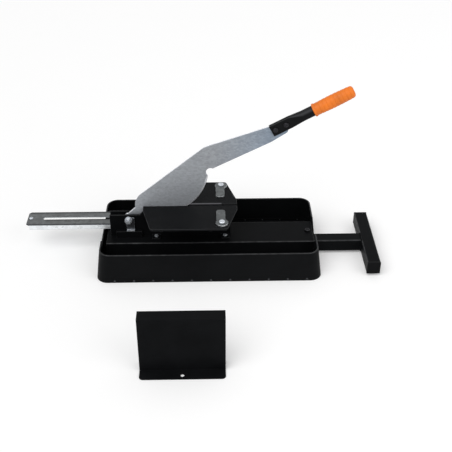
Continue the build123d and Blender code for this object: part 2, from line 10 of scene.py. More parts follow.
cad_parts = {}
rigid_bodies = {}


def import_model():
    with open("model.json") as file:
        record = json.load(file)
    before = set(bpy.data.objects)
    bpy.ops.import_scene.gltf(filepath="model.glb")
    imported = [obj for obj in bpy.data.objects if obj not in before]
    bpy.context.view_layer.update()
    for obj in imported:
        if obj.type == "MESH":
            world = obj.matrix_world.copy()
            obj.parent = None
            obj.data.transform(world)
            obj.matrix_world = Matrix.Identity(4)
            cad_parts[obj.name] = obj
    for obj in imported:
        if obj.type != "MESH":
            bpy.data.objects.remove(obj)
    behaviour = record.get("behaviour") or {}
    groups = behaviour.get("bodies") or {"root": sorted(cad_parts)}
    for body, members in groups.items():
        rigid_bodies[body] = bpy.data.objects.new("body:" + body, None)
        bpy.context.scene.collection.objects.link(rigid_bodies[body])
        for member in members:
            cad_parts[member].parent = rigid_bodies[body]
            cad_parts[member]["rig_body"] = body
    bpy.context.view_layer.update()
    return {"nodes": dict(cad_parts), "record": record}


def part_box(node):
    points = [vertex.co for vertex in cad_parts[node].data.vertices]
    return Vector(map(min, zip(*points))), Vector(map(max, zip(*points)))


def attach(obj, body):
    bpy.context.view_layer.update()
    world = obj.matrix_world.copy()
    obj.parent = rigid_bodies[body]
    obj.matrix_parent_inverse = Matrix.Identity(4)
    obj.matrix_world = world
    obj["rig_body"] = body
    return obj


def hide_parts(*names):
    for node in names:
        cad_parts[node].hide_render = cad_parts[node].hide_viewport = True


bl_info = {
    "name": "Laminate flooring cutter",
    "version": (1, 0, 0),
    "blender": (4, 5, 0),
    "location": "View3D > Sidebar > Cutter",
    "description": "Finishes the edges, fasteners and surfaces of a lever cutter for laminate flooring",
    "category": "Object",
}

for leftover in list(bpy.data.objects):
    bpy.data.objects.remove(leftover)

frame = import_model()

slot_of = {row["node"]: row["material_slot"] for row in frame["record"]["subparts"]}

# Corners closer than MERGE are one, and faces that turn by less than FLAT_TURN are one flat face.
# Edges that turn by more than SHARP_TURN can be rounded. PARALLEL is the least cosine of parallel directions.
MERGE = 1e-6
FLAT_TURN = radians(0.4)
SHARP_TURN = radians(25.0)
PARALLEL = 0.99

# Settings that share a unit or a subtype
LengthProperty = partial(FloatProperty, unit="LENGTH")
PlaceProperty = partial(FloatVectorProperty, subtype="XYZ", unit="LENGTH")
ColourProperty = partial(FloatVectorProperty, subtype="COLOR", min=0, max=1)


class CutterSizes(bpy.types.PropertyGroup):
    """Sizes of the details that are added to the cutter's solids."""

    edge: LengthProperty(
        name="Edge rounding", description="Radius on the sheared and cut edges", default=0.0005)
    rim: LengthProperty(
        name="Tray rim", description="Radius on the moulded tray's upper rim", default=0.0017)
    fold: LengthProperty(
        name="Sheet fold", description="Outer radius where sheet metal is folded", default=0.0026)
    rail_fold: LengthProperty(
        name="Rail fold", description="Outer radius round the rail's top", default=0.0016)
    rail_slot_start: LengthProperty(
        name="Rail slot start", description="From the rail's left end to its slot", default=0.0465)
    rail_corner: LengthProperty(
        name="Rail corner", description="How far the rail's rounded left corners reach in from its sides",
        default=0.0092)
    beam_strip: LengthProperty(
        name="Beam strip", description="Width beside the beam's folds that is freed of splits first",
        default=0.0048)
    rail_strip: LengthProperty(
        name="Rail strip", description="Width beside the rail's folds that is freed of splits first",
        default=0.0105)
    tube_corner: LengthProperty(
        name="Tube corner", description="Outer radius along the square tubes", default=0.0026)
    ground_depth: LengthProperty(
        name="Grinding depth", description="How far the cutting edge is ground into the blade's thickness",
        default=0.0025)
    ground_width: LengthProperty(
        name="Grinding width", description="Width of the ground strip along the cutting edge",
        default=0.0045)
    weld: LengthProperty(name="Weld bead", description="Radius of the weld beads", default=0.0022)
    thread_pitch: LengthProperty(
        name="Thread pitch", description="Pitch of the thread that shows above the clamp nut",
        default=0.00125)
    handle_start: PlaceProperty(
        name="Handle start", description="Point where the handle's axis begins, at the blade",
        default=(0.160, 0.0, 0.366))
    handle_rise: FloatProperty(
        name="Handle rise", description="Angle of the handle above the floor",
        default=radians(28.5), subtype="ANGLE")
    grip_start: LengthProperty(
        name="Grip start", description="Distance along the handle at which the grip begins", default=0.116)
    grip_end: LengthProperty(
        name="Grip end", description="Distance along the handle at which the grip ends", default=0.225)
    grip_bore: LengthProperty(
        name="Grip bore", description="Radius of the hole that the handle's tube fills", default=0.0135)
    grip_flange: LengthProperty(
        name="Grip flange", description="Radius of the grip's flange", default=0.017)
    grip_barrel: LengthProperty(
        name="Grip barrel", description="Radius of the grip behind its flange", default=0.0155)
    grip_swell: LengthProperty(
        name="Grip swell", description="How far the grip swells in the middle", default=0.0012)
    beam_half: LengthProperty(
        name="Beam half width", description="From the blade's plane to the beam's outer faces",
        default=0.048)
    stand_face: LengthProperty(
        name="Stand face", description="Where the stand's upright face lies along Y", default=-0.465)
    pivot: PlaceProperty(
        name="Pivot", description="Centre of the blade's pivot", default=(-0.212, 0.0, 0.1145))
    edge_tip: PlaceProperty(
        name="Edge tip", description="Outer end of the cutting edge, from the pivot along X and Z",
        default=(0.2116, 0.1265), size=2)
    edge_belly: PlaceProperty(
        name="Edge belly", description="Middle of the edge's round outer part, from the pivot",
        default=(0.191, 0.0695), size=2)
    edge_bend: PlaceProperty(
        name="Edge bend", description="Where the round part meets the long part, from the pivot",
        default=(0.1485, 0.0276), size=2)
    edge_low: PlaceProperty(
        name="Edge low", description="Middle of the edge's long part, from the pivot",
        default=(0.095, -0.0005), size=2)
    edge_heel: PlaceProperty(
        name="Edge heel", description="Inner end of the cutting edge, from the pivot",
        default=(0.030, -0.0105), size=2)


class CutterColours(bpy.types.PropertyGroup):
    """Colours of the cutter's finishes."""

    plastic: ColourProperty(
        name="Tray plastic", description="Moulded tray and end caps", default=(0.0045, 0.0048, 0.0053))
    paint: ColourProperty(
        name="Black paint", description="Powder coat on beam, channel, tables, foot and handle",
        default=(0.0046, 0.0049, 0.0054))
    # Partly real wear and partly painted highlight: the lighter edges, and the painted sheen on the handle.
    worn_paint: ColourProperty(
        name="Rubbed paint", description="Edges and scuffs of the powder coat",
        default=(0.030, 0.031, 0.033))
    blade: ColourProperty(
        name="Blade steel", description="Zinc-coated plate of the blade", default=(0.335, 0.352, 0.376))
    # Painted shade: the arm colour darkens the plate towards the handle.
    blade_arm: ColourProperty(
        name="Arm steel", description="Bluish end of the blade's plate, at the handle",
        default=(0.211, 0.264, 0.333))
    ground: ColourProperty(
        name="Ground steel", description="Cutting edges of blade and counter blade",
        default=(0.80, 0.82, 0.86))
    # Painted light on the galvanised sheet: the flat colour is painted shade, the flange colour a painted
    # reflection.
    sheet_flat: ColourProperty(
        name="Galvanised flat", description="Flat upper faces of the galvanised sheet",
        default=(0.098, 0.105, 0.107))
    sheet_flange: ColourProperty(
        name="Galvanised flange", description="Upright faces of the galvanised sheet",
        default=(0.82, 0.85, 0.87))
    zinc: ColourProperty(name="Zinc", description="Bright plated fasteners", default=(0.56, 0.59, 0.63))
    # Dull zinc on the weathered rivets; on the strap's upright faces it is a painted dark reflection.
    dull_zinc: ColourProperty(
        name="Dull zinc", description="Weathered rivets and strap", default=(0.066, 0.069, 0.074))
    # Painted shade: the rail's rounded folds and cut edges are painted dark.
    bent_zinc: ColourProperty(
        name="Bent zinc", description="Dark folds and cut edges of the rail", default=(0.032, 0.036, 0.043))
    tool_steel: ColourProperty(
        name="Tool steel", description="Counter blade", default=(0.060, 0.062, 0.066))
    dark_steel: ColourProperty(
        name="Blackened steel", description="Handle bolts and lock screw", default=(0.030, 0.030, 0.033))
    bronze: ColourProperty(name="Bronze", description="Bush in the blade's eye", default=(0.42, 0.25, 0.11))
    rubber: ColourProperty(name="Rubber", description="Buffer and foot pads", default=(0.012, 0.012, 0.012))
    nylon: ColourProperty(
        name="Nylon", description="Guides of rail and foot stem", default=(0.022, 0.022, 0.024))
    grip: ColourProperty(
        name="Grip", description="Orange sleeve on the handle", default=(0.76, 0.175, 0.008))


class StageSettings(bpy.types.PropertyGroup):
    """Floor, light and camera."""

    floor_side: LengthProperty(name="Floor side", description="Side of the pale floor", default=40.0)
    floor_colour: ColourProperty(
        name="Floor", description="Colour of the pale floor", default=(0.88, 0.88, 0.88))
    floor_glow: FloatProperty(
        name="Floor glow", description="How far the floor is lifted towards white where it is seen",
        default=0.16)
    sky: FloatProperty(
        name="Ambient light", description="Strength of the even light from all sides", default=0.56)
    key_strength: FloatProperty(
        name="Main lamp", description="Strength of the broad lamp at the left front", default=1.35)
    fill_power: FloatProperty(
        name="Fill lamp", description="Power of the lamp at the right front", default=22.0, subtype="POWER")
    eye: PlaceProperty(
        name="Camera place", description="Where the camera stands", default=(0.0077, -1.836, 1.320))
    down: FloatProperty(
        name="Camera tilt", description="How far the camera looks down",
        default=radians(34.0), subtype="ANGLE")
    aside: FloatProperty(
        name="Camera turn", description="How far the camera turns to the right",
        default=radians(1.2), subtype="ANGLE")
    lens: FloatProperty(
        name="Lens", description="Focal length on a 36 mm sensor, in millimetres", default=65.63)


def sizes():
    """The sizes that the user can change."""
    return bpy.context.scene.cutter_sizes


def colours():
    """The colours that the user can change."""
    return bpy.context.scene.cutter_colours


# Nodes of the finishes

def add_node(tree, kind, sockets=None, **settings):
    """Outputs of a new node whose sockets are set to values or linked to other nodes."""
    node = tree.nodes.new(kind)
    for setting, value in settings.items():
        setattr(node, setting, value)
    for socket, value in (sockets or {}).items():
        if isinstance(value, bpy.types.NodeSocket):
            tree.links.new(value, node.inputs[socket])
        else:
            node.inputs[socket].default_value = value
    return node.outputs


def start_finish(name, colour, roughness, metallic=0.0, gloss=0.5):
    """A new material with plain values on its shader, and its node tree."""
    finish = bpy.data.materials.new(name)
    finish.use_nodes = True
    finish.diffuse_color = (*colour, 1.0)
    inputs = finish.node_tree.nodes["Principled BSDF"].inputs
    inputs["Base Color"].default_value = (*colour, 1.0)
    inputs["Roughness"].default_value = roughness
    inputs["Metallic"].default_value = metallic
    inputs["Specular IOR Level"].default_value = gloss
    return finish, finish.node_tree


def dressed(finish, colour, roughness, normal):
    """The material with its colour, roughness and bumps linked to its shader."""
    tree = finish.node_tree
    shader = tree.nodes["Principled BSDF"]
    for socket, texture in (("Base Color", colour), ("Roughness", roughness), ("Normal", normal)):
        tree.links.new(texture, shader.inputs[socket])
    return finish


def made_once(make):
    """Makes a finish at its first use and gives the same material after that."""

    @wraps(make)
    def finish(name=make.__name__, *choices, **more):
        return bpy.data.materials.get(name) or make(name, *choices, **more)

    return finish


def pattern_space(tree, scale=(1.0, 1.0, 1.0), turn=(0.0, 0.0, 0.0)):
    """Object coordinates, stretched and turned."""
    place = add_node(tree, "ShaderNodeTexCoord")["Object"]
    return add_node(tree, "ShaderNodeMapping", {"Vector": place, "Scale": scale, "Rotation": turn})["Vector"]


def cloud(space, scale, detail=4.0, roughness=0.55, distortion=0.0):
    """Soft noise with a given number of features in a metre."""
    grain = {"Scale": scale, "Detail": detail, "Roughness": roughness, "Distortion": distortion}
    return add_node(space.id_data, "ShaderNodeTexNoise", {"Vector": space, **grain})["Fac"]


def crystals(space, scale, bend):
    """One random tone for each zinc crystal, with crooked borders."""
    tree = space.id_data
    coarse = {"Vector": space, "Scale": scale * 1.3, "Detail": 3.0}
    wobble = add_node(tree, "ShaderNodeTexNoise", coarse)["Color"]
    reach = (bend / scale, bend / scale, bend / scale)
    crooked = add_node(
        tree, "ShaderNodeVectorMath", {0: wobble, 1: reach, 2: space}, operation="MULTIPLY_ADD")["Vector"]
    cell = add_node(tree, "ShaderNodeTexVoronoi", {"Vector": crooked, "Scale": scale})["Color"]
    return add_node(tree, "ShaderNodeSeparateColor", {"Color": cell})["Red"]


def spread(value, low, high, start=0.0, stop=1.0):
    """Maps a texture's range from start to stop onto low to high."""
    span = {"From Min": start, "From Max": stop, "To Min": low, "To Max": high}
    return add_node(value.id_data, "ShaderNodeMapRange", {"Value": value, **span})["Result"]


def shades(value, *stops):
    """Turns a texture into colours, each at its own place."""
    ramp = value.id_data.nodes.new("ShaderNodeValToRGB")
    band = ramp.color_ramp.elements
    while len(band) < len(stops):
        band.new(0.5)
    for element, (place, colour) in zip(band, stops):
        element.position = place
        element.color = (*colour, 1.0)
    value.id_data.links.new(value, ramp.inputs["Fac"])
    return ramp.outputs["Color"]


def mixed(factor, under, over, blend="MIX"):
    """One colour over another, by a texture or a share."""
    layers = {"Factor": factor, "A": under, "B": over}
    return add_node(under.id_data, "ShaderNodeMix", layers, data_type="RGBA", blend_type=blend)["Result"]


def multiplied(first, second):
    """One texture's colours times another's."""
    return mixed(1.0, first, second, "MULTIPLY")


def added(first, second, share):
    """The first texture plus a share of the second."""
    terms = {0: second, 1: share, 2: first}
    return add_node(first.id_data, "ShaderNodeMath", terms, operation="MULTIPLY_ADD")["Value"]


def relief(height, strength, depth):
    """Bumps of a given depth in metres."""
    bumps = {"Height": height, "Strength": strength, "Distance": depth}
    return add_node(height.id_data, "ShaderNodeBump", bumps)["Normal"]


def upward(tree):
    """1 on faces that look up and 0 on upright ones, from the object's own normals."""
    normal = add_node(tree, "ShaderNodeTexCoord")["Normal"]
    return add_node(tree, "ShaderNodeSeparateXYZ", {"Vector": normal})["Z"]


def along_axis(tree, axis, start, stop):
    """Rises from 0 to 1 between two places along X, Y or Z."""
    place = add_node(tree, "ShaderNodeSeparateXYZ", {"Vector": pattern_space(tree)})[axis]
    return spread(place, 0.0, 1.0, start, stop)


def grey(level):
    """A neutral tone."""
    return level, level, level


def tinted(colour, factor):
    """The same colour, lighter or darker."""
    return tuple(min(1.0, channel * factor) for channel in colour)


# Finishes

@made_once
def tray_plastic(name):
    """Moulded black plastic with a fine grain, flow marks and a few dusty scuffs."""
    colour, paint_wear_and_highlight = colours().plastic, colours().worn_paint
    finish, tree = start_finish(name, colour, 0.42, gloss=0.045)
    flow = cloud(pattern_space(tree, (1.0, 1.0, 2.2)), 9.0, detail=5.0, roughness=0.6, distortion=0.6)
    body = shades(flow, (0.25, tinted(colour, 0.75)), (0.75, tinted(colour, 1.3)))
    streaks = cloud(pattern_space(tree, (7.0, 90.0, 90.0)), 3.0, detail=5.0, roughness=0.7)
    scuff = spread(streaks, 0.0, 0.5, 0.66, 0.80)
    dust_and_sheen = shades(flow, (0.0, tinted(paint_wear_and_highlight, 0.9)), (1.0, paint_wear_and_highlight))
    grain = cloud(pattern_space(tree), 1500.0, detail=2.0, roughness=0.5)
    return dressed(
        finish, mixed(scuff, body, dust_and_sheen),
        spread(added(flow, grain, 0.3), 0.34, 0.55, 0.3, 0.95),
        relief(grain, 0.22, 0.00025))


@made_once
def powder_coat(name, lift=1.0, speckle=0.0, gloss=0.02, sheen=0.0):
    """Satin black powder coat with orange peel and rubbed places, grey speckle where asked, and a painted
    sheen where asked.
    """
    colour, paint_wear_and_highlight = tinted(colours().paint, lift), colours().worn_paint
    finish, tree = start_finish(name, colour, 0.4, gloss=gloss)
    space = pattern_space(tree)
    broad = cloud(space, 13.0, detail=5.0, roughness=0.6)
    body = shades(broad, (0.3, tinted(colour, 0.8)), (0.7, tinted(colour, 1.25)))
    streaks = cloud(pattern_space(tree, (3.0, 40.0, 40.0)), 6.0, detail=6.0, roughness=0.72)
    rubbed = spread(streaks, 0.0, 0.55, 0.64, 0.80)
    thin = shades(broad, (0.0, tinted(paint_wear_and_highlight, 0.8)), (1.0, tinted(paint_wear_and_highlight, 1.3)))
    painted = mixed(rubbed, body, thin)
    if speckle > 0.0:
        dots = spread(cloud(space, 620.0, detail=3.0, roughness=0.6), 0.0, speckle, 0.52, 0.74)
        pale = shades(broad, (0.0, tinted(paint_wear_and_highlight, 1.6)), (1.0, tinted(paint_wear_and_highlight, 2.6)))
        painted = mixed(dots, painted, pale)
    # Painted highlight: a lighter band on faces that slope up at about fifty degrees, as a sheen.
    if sheen > 0.0:
        sheen_band = shades(upward(tree), (0.25, grey(0.0)), (0.60, grey(sheen)), (0.95, grey(0.0)))
        dust_and_sheen = shades(broad, (0.0, paint_wear_and_highlight), (1.0, tinted(paint_wear_and_highlight, 1.7)))
        painted = mixed(sheen_band, painted, dust_and_sheen)
    peel = cloud(space, 700.0, detail=2.0, roughness=0.5)
    return dressed(
        finish, painted, spread(added(broad, peel, 0.3), 0.30, 0.50, 0.3, 0.95),
        relief(peel, 0.25, 0.0003))


@made_once
def rubbed_edge(name):
    """Paint worn thin and shiny along an edge, its lighter tone partly wear and partly a painted highlight.
    """
    paint_wear_and_highlight = colours().worn_paint
    finish, tree = start_finish(name, paint_wear_and_highlight, 0.35, gloss=0.2)
    space = pattern_space(tree)
    wear_and_highlights = cloud(space, 60.0, detail=6.0, roughness=0.7)
    # Painted highlight: the lightest tone lines the edges as well as showing wear.
    tone = shades(wear_and_highlights, (0.35, tinted(colours().paint, 1.1)), (0.62, paint_wear_and_highlight), (0.78, tinted(paint_wear_and_highlight, 2.4)))
    grain = cloud(space, 800.0, detail=2.0)
    return dressed(finish, tone, spread(wear_and_highlights, 0.5, 0.26, 0.3, 0.8), relief(grain, 0.2, 0.0002))


def banded(colour, sides, levels, start=None):
    """A colour with lines of painted shade along X, by its brightness from side to side, from a start
    onwards.
    """
    tree, fade = colour.id_data, 0.004
    across = along_axis(tree, "Y", *sides)
    lines = multiplied(colour, shades(across, *((place, grey(level)) for place, level in levels)))
    if start is None:
        return lines
    return mixed(along_axis(tree, "X", start, start + fade), colour, lines)


@made_once
def galvanised_sheet(name, metallic=1.0, shade_lines=()):
    """Galvanised sheet: spangle and faint drawing lines, with painted shade on the flat faces and a painted
    reflection on the flanges.
    """
    flat, flange = colours().sheet_flat, colours().sheet_flange
    finish, tree = start_finish(name, flat, 0.34, metallic=metallic)
    spangle = crystals(pattern_space(tree), 120.0, bend=0.8)
    lines = cloud(pattern_space(tree, (1.0, 60.0, 60.0)), 14.0, detail=5.0, roughness=0.65)
    mottled = added(spread(spangle, 0.25, 0.75), lines, 0.4)
    dull = shades(mottled, (0.2, tinted(flat, 0.72)), (0.62, flat), (1.0, tinted(flat, 1.5)))
    bright = shades(mottled, (0.2, tinted(flange, 0.86)), (0.7, flange), (1.0, tinted(flange, 1.1)))
    for band in shade_lines:
        dull = banded(dull, *band)
    # Painted light: upright faces take the bright flange colour as a painted reflection, upward faces the
    # dark flat colour as painted shade.
    facing = spread(upward(tree), 0.0, 1.0, 0.25, 0.85)
    return dressed(
        finish, mixed(facing, bright, dull),
        spread(added(spangle, lines, 0.6), 0.24, 0.46, 0.1, 1.4),
        relief(lines, 0.12, 0.0002))


@made_once
def blade_plate(name):
    """Zinc-coated plate with a crooked spangle, rolling streaks, painted glints and painted shade towards the
    handle.
    """
    colour = colours().blade
    finish, tree = start_finish(name, colour, 0.46, metallic=0.5)
    along_arm = (0.0, radians(28.0), 0.0)
    spangle = crystals(pattern_space(tree, (0.8, 1.0, 1.2), along_arm), 210.0, bend=1.0)
    rolled = pattern_space(tree, (1.0, 1.0, 7.0), along_arm)
    streak = cloud(rolled, 26.0, detail=7.0, roughness=0.66, distortion=0.5)
    broad = cloud(pattern_space(tree), 9.0, detail=4.0, roughness=0.6, distortion=0.8)
    tone = added(spread(spangle, 0.30, 0.48), streak, 0.35)
    tone = added(tone, broad, 0.25)
    # Painted highlight: the brightest tones stand for glints on the spangle and streaks.
    wear_and_highlights = shades(tone, (0.42, grey(0.44)), (0.66, grey(0.62)), (0.82, grey(0.76)), (0.95, grey(1.0)))
    # Painted light and shade: the plate is lighter near the pivot and darker and bluer towards the handle.
    reach = along_axis(tree, "X", -0.20, 0.19)
    arm_shade = tinted(colours().blade_arm, 1.6)
    zinc = shades(reach, (0.2, tinted(colour, 1.9)), (0.55, tinted(colour, 1.6)), (1.0, arm_shade))
    return dressed(
        finish, multiplied(wear_and_highlights, zinc), spread(tone, 0.58, 0.36, 0.45, 0.95),
        relief(tone, 0.10, 0.0006))


@made_once
def ground_steel(name):
    """Bare ground steel with fine grinding lines across the edge."""
    colour = colours().ground
    finish, tree = start_finish(name, colour, 0.26, metallic=0.6)
    across = pattern_space(tree, (1.0, 0.2, 0.15), (0.0, radians(-20.0), 0.0))
    lines = cloud(across, 1100.0, detail=3.0, roughness=0.6)
    tone = added(lines, cloud(pattern_space(tree), 24.0), 0.5)
    steel = shades(tone, (0.4, tinted(colour, 0.78)), (0.75, colour), (1.0, tinted(colour, 1.25)))
    return dressed(finish, steel, spread(tone, 0.20, 0.36, 0.4, 1.1), relief(lines, 0.15, 0.0001))


@made_once
def metal(name, shade, low, high, scale, contrast=0.25, metallic=1.0):
    """A plated or bare metal with cloudy tone, dull patches and fine pits."""
    colour = getattr(colours(), shade)
    finish, tree = start_finish(name, colour, low, metallic=metallic)
    space = pattern_space(tree)
    fine = cloud(space, scale * 11.0, detail=3.0, roughness=0.6)
    tone = added(cloud(space, scale, detail=5.0, roughness=0.6), fine, 0.3)
    plate = shades(tone, (0.35, tinted(colour, 1.0 - contrast)), (0.85, tinted(colour, 1.0 + contrast)))
    return dressed(
        finish, plate, spread(tone, low, high, 0.4, 0.95), relief(fine, 0.12, 0.00015))


# Each with its colour, its roughness from low to high and its number of features in a metre
bright_zinc = partial(metal, "bright_zinc", "zinc", 0.20, 0.40, 130.0, metallic=0.7)
dull_zinc = partial(metal, "dull_zinc", "dull_zinc", 0.40, 0.60, 150.0)
bent_zinc = partial(metal, "bent_zinc", "bent_zinc", 0.36, 0.54, 120.0, contrast=0.3)
tool_steel = partial(metal, "tool_steel", "tool_steel", 0.34, 0.52, 60.0, contrast=0.3)
blackened_steel = partial(metal, "blackened_steel", "dark_steel", 0.30, 0.48, 140.0, contrast=0.35)
bush_bronze = partial(metal, "bush_bronze", "bronze", 0.30, 0.50, 160.0, contrast=0.3)


@made_once
def soft(name, shade, low, high, grain_scale, depth, gloss):
    """Rubber or plastic with a pebbled grain, cloudy tone and handling marks."""
    colour = getattr(colours(), shade)
    finish, tree = start_finish(name, colour, low, gloss=gloss)
    space = pattern_space(tree)
    grain = cloud(space, grain_scale, detail=2.0, roughness=0.5)
    tone = added(cloud(space, 28.0, detail=5.0, roughness=0.6), grain, 0.25)
    body = shades(tone, (0.35, tinted(colour, 0.8)), (0.60, colour), (0.85, tinted(colour, 1.18)))
    return dressed(finish, body, spread(tone, low, high, 0.35, 0.9), relief(grain, 0.3, depth))


# Each with its colour, its roughness from low to high and its number of grains in a metre
grip_rubber = partial(soft, "grip_rubber", "grip", 0.42, 0.62, 1300.0, depth=0.0003, gloss=0.4)
pad_rubber = partial(soft, "pad_rubber", "rubber", 0.62, 0.85, 900.0, depth=0.0004, gloss=0.2)
guide_nylon = partial(soft, "guide_nylon", "nylon", 0.40, 0.60, 500.0, depth=0.0002, gloss=0.3)


# Meshes

def near(value, target, reach=0.0004):
    """True where two lengths agree."""
    return abs(value - target) < reach


def solid_copy(node):
    """A copy of a solid with its triangles merged and its flat faces joined."""
    bm = bmesh.new()
    bm.from_mesh(frame["nodes"][node].data)
    bmesh.ops.remove_doubles(bm, verts=bm.verts, dist=MERGE)
    bmesh.ops.dissolve_limit(bm, angle_limit=FLAT_TURN, verts=bm.verts, edges=bm.edges)
    for face in bm.faces:
        face.material_index = 0
    return bm


def sharp_edges(bm, test):
    """Sharp edges whose middle and direction pass a test."""
    chosen = []
    for edge in bm.edges:
        if len(edge.link_faces) != 2 or edge.calc_face_angle(0.0) < SHARP_TURN:
            continue
        low, high = (vertex.co for vertex in edge.verts)
        if test((low + high) / 2, (high - low).normalized()):
            chosen.append(edge)
    return chosen


def round_off(bm, edges, radius, steps=4, clamp=True):
    """Rounds the given edges, or chamfers them in one step, and returns the new faces."""
    return bmesh.ops.bevel(
        bm, geom=edges, offset=radius, offset_type="OFFSET", segments=steps, profile=0.5,
        affect="EDGES", clamp_overlap=clamp, material=-1)["faces"]


def add_piece(name, bm, body, slot, finishes, stands_for=(), edge=0.0, steps=2, crease=28.0):
    """Makes a mesh the named piece of a body, with its finishes and, if asked, rounded edges."""
    mesh = bpy.data.meshes.new(name)
    bm.to_mesh(mesh)
    bm.free()
    for layer in ("custom_normal", "sharp_edge", "sharp_face"):
        if layer in mesh.attributes:
            mesh.attributes.remove(mesh.attributes[layer])
    for finish in finishes:
        mesh.materials.append(finish)
    mesh.shade_smooth()
    piece = bpy.data.objects.new(name, mesh)
    bpy.context.scene.collection.objects.link(piece)
    if edge > 0.0:
        rounding = piece.modifiers.new("rounded edges", "BEVEL")
        rounding.width = edge
        rounding.segments = steps
        rounding.loop_slide = False
        rounding.use_clamp_overlap = False
        rounding.limit_method = "ANGLE"
        rounding.angle_limit = radians(crease)
        rounding.material = len(finishes) - 1
        flats = piece.modifiers.new("flat faces", "WEIGHTED_NORMAL")
        flats.keep_sharp = True
    else:
        mesh.set_sharp_from_angle(angle=radians(crease))
    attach(piece, body)
    for node in stands_for:
        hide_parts(node)


def replace_solid(name, node, bm, finishes, **rounding):
    """Makes a mesh the named piece in place of a solid, on the solid's body."""
    add_piece(name, bm, frame["nodes"][node]["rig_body"], slot_of[node], finishes, (node,), **rounding)


def clear_beside(bm, height, width, sides):
    """Frees a strip of the flat top along each side of its splits, so that the fold there can be rounded."""
    margin = 0.00002
    for side, inward in sides:
        everything = bm.verts[:] + bm.edges[:] + bm.faces[:]
        line = (0.0, side + inward * width, height)
        bmesh.ops.bisect_plane(bm, geom=everything, dist=MERGE, plane_co=line, plane_no=(0, 1, 0))
    splits = []
    for edge in bm.edges:
        middle = (edge.verts[0].co + edge.verts[1].co) / 2
        inside = any(margin < (middle.y - side) * inward < width - margin for side, inward in sides)
        if inside and near(middle.z, height) and edge.calc_face_angle(pi) < FLAT_TURN:
            splits.append(edge)
    bmesh.ops.dissolve_edges(bm, edges=splits, use_verts=True)


def finished(name, node, finishes, edge=None, steps=2, folds=(), crease=28.0, clear=None):
    """A copy of a solid with folds and edges rounded, in place of the solid."""
    bm = solid_copy(node)
    if clear:
        clear_beside(bm, *clear)
    for test, radius in folds:
        edges = sharp_edges(bm, test)
        if not edges:
            raise RuntimeError(f"no edge to round was found on {node}")
        for face in round_off(bm, edges, radius):
            face.material_index = len(finishes) - 1
    width = sizes().edge if edge is None else edge
    replace_solid(name, node, bm, finishes, edge=width, steps=steps, crease=crease)


def plated(node, edge, steps=2):
    """A fastener in bright zinc, in place of its solid."""
    finished(node + "_plated", node, [bright_zinc()], edge=edge, steps=steps)


def arc_through(first, middle, last):
    """Centre and radius of the circle through three points in a plane."""
    a, b = middle - first, last - first
    twice = 2 * a.cross(b)
    x = (b.y * a.length_squared - a.y * b.length_squared) / twice
    y = (a.x * b.length_squared - b.x * a.length_squared) / twice
    return first + Vector((x, y)), Vector((x, y)).length


def end_faces(bm, direction, least):
    """Flat faces of some area that look in a direction and lie at its far end."""
    slack = 0.0008
    reach = max(vertex.co.dot(direction) for vertex in bm.verts)
    return [
        face for face in bm.faces
        if face.normal.dot(direction) > PARALLEL
        and near(face.calc_center_median().dot(direction), reach, slack)
        and face.calc_area() > least]


def with_recess(name, node, finish, facing, least, rim, depth, edge):
    """A fastener in place of its solid, with a tool recess sunk into its flat end."""
    corner_merge, taper = 0.00012, 0.06
    bm = solid_copy(node)
    faces = end_faces(bm, Vector(facing), least)
    bmesh.ops.inset_individual(bm, faces=faces, thickness=rim, use_even_offset=True)
    corners = [vertex for face in faces for vertex in face.verts]
    bmesh.ops.remove_doubles(bm, verts=corners, dist=corner_merge)
    bmesh.ops.inset_individual(bm, faces=faces, thickness=rim * taper, depth=-depth, use_even_offset=True)
    replace_solid(name, node, bm, [finish], edge=edge)


def lathe(outline, steps=64):
    """Turns an outline of (radius, height) points round the local Z axis."""
    bm = bmesh.new()
    points = [bm.verts.new((radius, 0.0, height)) for radius, height in outline]
    lines = [bm.edges.new(pair) for pair in zip(points, points[1:])]
    bmesh.ops.spin(
        bm, geom=points + lines, cent=(0, 0, 0), axis=(0, 0, 1), dvec=(0, 0, 0),
        angle=2 * pi, steps=steps, use_merge=True, use_duplicate=False)
    bmesh.ops.remove_doubles(bm, verts=bm.verts, dist=MERGE)
    bmesh.ops.recalc_face_normals(bm, faces=bm.faces)
    return bm


def thread(start, radius, length, pitch):
    """A raised helical thread on an upright shank."""
    bm = bmesh.new()
    root, depth, half, facets = radius - 0.0002, 0.45 * pitch, 0.42 * pitch, 20
    points = [bm.verts.new((r, 0.0, h)) for r, h in ((root, -half), (root + depth, 0.0), (root, half))]
    face = bm.faces.new(points)
    turns = (length - pitch) / pitch
    steps = int(turns * facets)
    bmesh.ops.spin(
        bm, geom=points + list(face.edges) + [face], cent=(0, 0, 0), axis=(0, 0, 1),
        dvec=(0, 0, (length - pitch) / steps), angle=turns * 2 * pi, steps=steps, use_duplicate=False)
    bmesh.ops.holes_fill(bm, edges=bm.edges, sides=4)
    bmesh.ops.recalc_face_normals(bm, faces=bm.faces)
    bmesh.ops.translate(bm, verts=bm.verts, vec=Vector(start) + Vector((0, 0, 0.5 * pitch)))
    return bm


def weld_bead(bm, start, end):
    """A row of overlapping drops of slightly different size along a joint."""
    radius, overlap, ripple, beat = sizes().weld, 0.95, 0.12, 2.3
    start, end = Vector(start), Vector(end)
    count = max(2, round((end - start).length / (radius * overlap)))
    for step in range(count + 1):
        place = Matrix.Translation(start.lerp(end, step / count))
        size = radius * (1.0 + ripple * sin(step * beat))
        bmesh.ops.create_uvsphere(bm, u_segments=8, v_segments=6, radius=size, matrix=place)


def handle_frame():
    """Places the local Z axis along the handle."""
    rise = sizes().handle_rise
    along = Vector((cos(rise), 0.0, sin(rise)))
    turn = Vector((0, 0, 1)).rotation_difference(along).to_matrix().to_4x4()
    return Matrix.Translation(Vector(sizes().handle_start)) @ turn


# Operators

